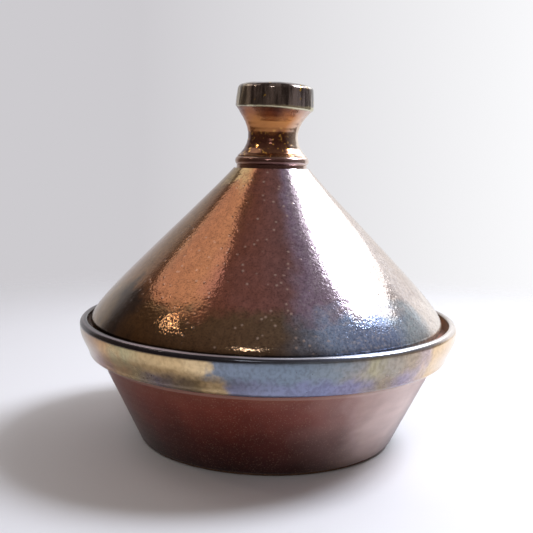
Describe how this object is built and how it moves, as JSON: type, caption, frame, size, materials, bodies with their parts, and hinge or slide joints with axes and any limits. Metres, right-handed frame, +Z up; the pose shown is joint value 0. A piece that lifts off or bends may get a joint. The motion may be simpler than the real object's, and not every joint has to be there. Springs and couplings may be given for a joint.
{
  "type": "tagine pot",
  "caption": "Round flared cooking dish with a heavy rim collar and a lift-off conical lid that ends in a waisted, capped knob; glazed stoneware.",
  "frame": {"origin": "middle of the dish's foot, on the surface that it stands on", "axes": "+Z up along the axis that the dish and the lid are turned about; X and Y are free, as the pot is round"},
  "size_m": [0.28, 0.28, 0.2627],
  "materials": {
    "copper_red_glaze": "satin",
    "lustre_glaze": "gloss",
    "dark_lustre_glaze": "gloss",
    "bare_stoneware": "matte"
  },
  "bodies": {
    "dish": {"dish": "copper_red_glaze", "foot_ring": "bare_stoneware", "rim_collar": "lustre_glaze"},
    "lid": {"lid_cone": "lustre_glaze", "neck_ring": "dark_lustre_glaze", "knob_neck": "lustre_glaze", "knob_cap": "dark_lustre_glaze"}
  },
  "joints": [
    {"name": "lid_lift", "type": "slide", "parent": "dish", "child": "lid", "axis": [0, 0, 1], "range_m": [0, 0.2]}
  ]
}
